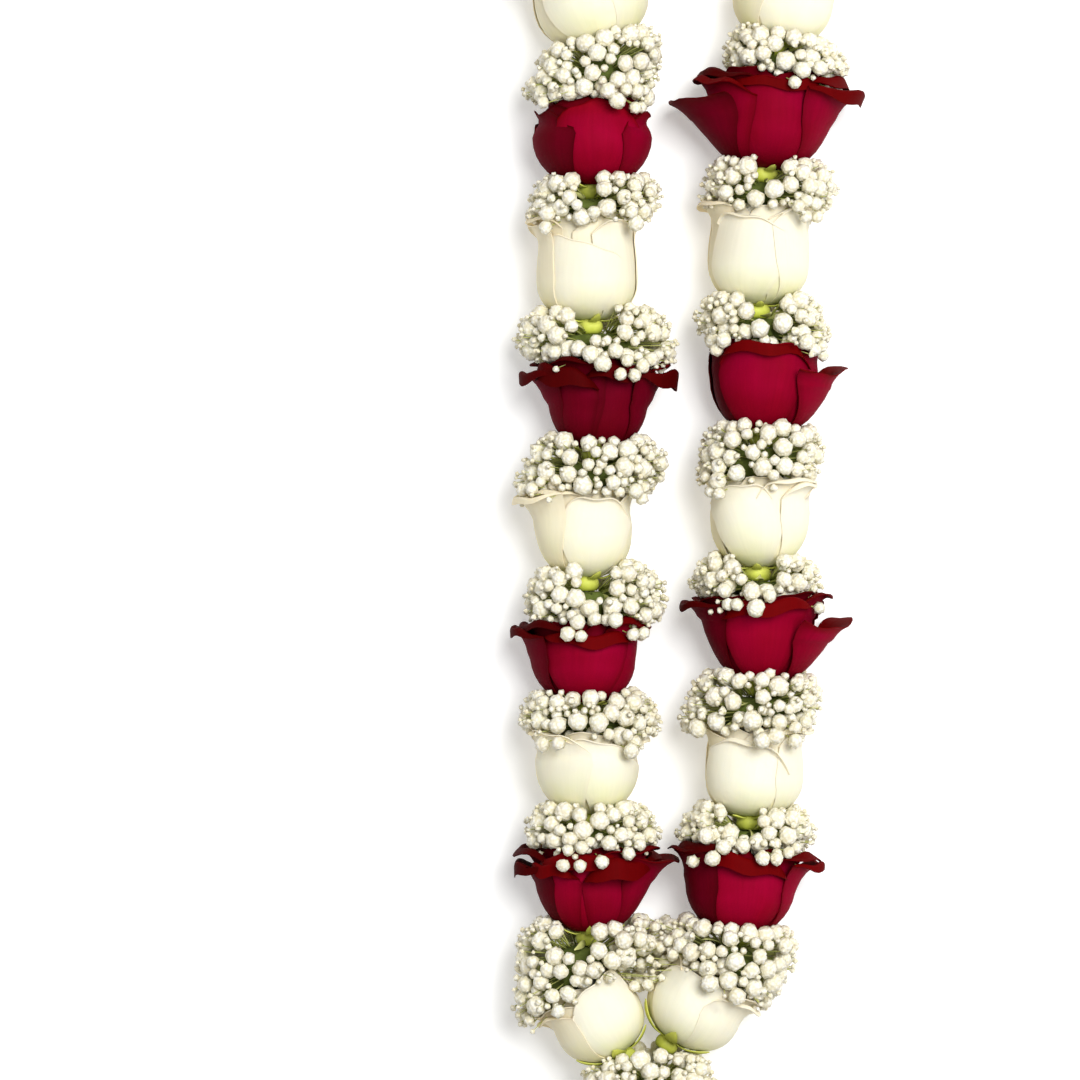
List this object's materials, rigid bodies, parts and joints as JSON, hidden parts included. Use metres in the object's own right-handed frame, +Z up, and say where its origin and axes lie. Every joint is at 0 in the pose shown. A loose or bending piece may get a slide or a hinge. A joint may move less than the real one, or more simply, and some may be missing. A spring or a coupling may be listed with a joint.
{
  "type": "flower garland",
  "caption": "Long threaded loop of red and white roses with baby's breath collars between them, round at the neck, meeting in a V, with a rose hanging below; laid flat.",
  "frame": {"origin": "centre of the bounding box's base, on the surface that the garland lies on", "axes": "+Y from the hanging rose towards the round of the neck, +Z up off the surface and towards the picture's camera, +X to the right in the picture"},
  "size_m": [0.2008, 0.7641, 0.0594],
  "materials": {
    "red": "velvety",
    "white": "satin",
    "baby_breath": "matte",
    "cotton": "matte"
  },
  "bodies": {
    "root": {"baby_breath_left_01": "baby_breath", "baby_breath_left_02": "baby_breath", "baby_breath_left_03": "baby_breath", "baby_breath_left_04": "baby_breath", "baby_breath_left_05": "baby_breath", "baby_breath_left_06": "baby_breath", "baby_breath_left_07": "baby_breath", "baby_breath_left_08": "baby_breath", "baby_breath_left_09": "baby_breath", "baby_breath_left_10": "baby_breath", "baby_breath_left_11": "baby_breath", "baby_breath_neck": "baby_breath", "baby_breath_right_01": "baby_breath", "baby_breath_right_02": "baby_breath", "baby_breath_right_03": "baby_breath", "baby_breath_right_04": "baby_breath", "baby_breath_right_05": "baby_breath", "baby_breath_right_06": "baby_breath", "baby_breath_right_07": "baby_breath", "baby_breath_right_08": "baby_breath", "baby_breath_right_09": "baby_breath", "baby_breath_right_10": "baby_breath", "baby_breath_right_11": "baby_breath", "baby_breath_tail": "baby_breath", "baby_breath_v": "baby_breath", "red_rose_left_02": "red", "red_rose_left_04": "red", "red_rose_left_06": "red", "red_rose_left_08": "red", "red_rose_left_10": "red", "red_rose_left_12": "red", "red_rose_pendant": "red", "red_rose_right_02": "red", "red_rose_right_04": "red", "red_rose_right_06": "red", "red_rose_right_08": "red", "red_rose_right_10": "red", "red_rose_right_12": "red", "thread": "cotton", "white_rose_left_01": "white", "white_rose_left_03": "white", "white_rose_left_05": "white", "white_rose_left_07": "white", "white_rose_left_09": "white", "white_rose_left_11": "white", "white_rose_right_01": "white", "white_rose_right_03": "white", "white_rose_right_05": "white", "white_rose_right_07": "white", "white_rose_right_09": "white", "white_rose_right_11": "white"}
  },
  "joints": []
}
